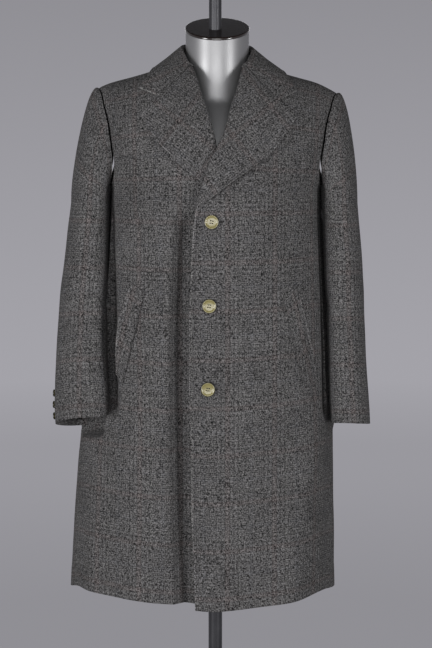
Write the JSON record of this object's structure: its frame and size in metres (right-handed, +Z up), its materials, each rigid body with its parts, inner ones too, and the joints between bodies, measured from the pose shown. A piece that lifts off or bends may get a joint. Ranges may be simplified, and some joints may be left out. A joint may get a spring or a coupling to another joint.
{
  "type": "wool overcoat on a dress form stand",
  "caption": "Long single-breasted checked wool overcoat with notched lapels, buttoned on a limbless torso form with a straight neck on a pole stand.",
  "frame": {"origin": "the pole's axis on the underside of the base plate", "axes": "+Z up along the pole, the coat's front faces -Y, +X towards the wearer's left"},
  "size_m": [0.629, 0.337, 1.652],
  "materials": {
    "coat_wool": "brushed wool check",
    "button_horn": "polished, horn coloured",
    "form_silver": "satin silver",
    "cap_gloss": "high gloss dark brown",
    "stand_steel": "semi-gloss dark grey"
  },
  "bodies": {
    "root": {"front_left": "coat_wool", "front_right": "coat_wool", "back_left": "coat_wool", "back_right": "coat_wool", "lapel_left": "coat_wool", "lapel_right": "coat_wool", "collar": "coat_wool", "top_sleeve_left": "coat_wool", "top_sleeve_right": "coat_wool", "under_sleeve_left": "coat_wool", "under_sleeve_right": "coat_wool", "welt_left": "coat_wool", "welt_right": "coat_wool", "button_1": "button_horn", "button_2": "button_horn", "button_3": "button_horn", "cuff_button_left_1": "button_horn", "cuff_button_left_2": "button_horn", "cuff_button_left_3": "button_horn", "cuff_button_right_1": "button_horn", "cuff_button_right_2": "button_horn", "cuff_button_right_3": "button_horn", "torso_form": "form_silver", "neck_cap": "cap_gloss", "pole_upper": "stand_steel", "pole_lower": "stand_steel", "pole_collar": "stand_steel", "pole_end_cap": "stand_steel", "base_plate": "stand_steel"}
  },
  "joints": []
}
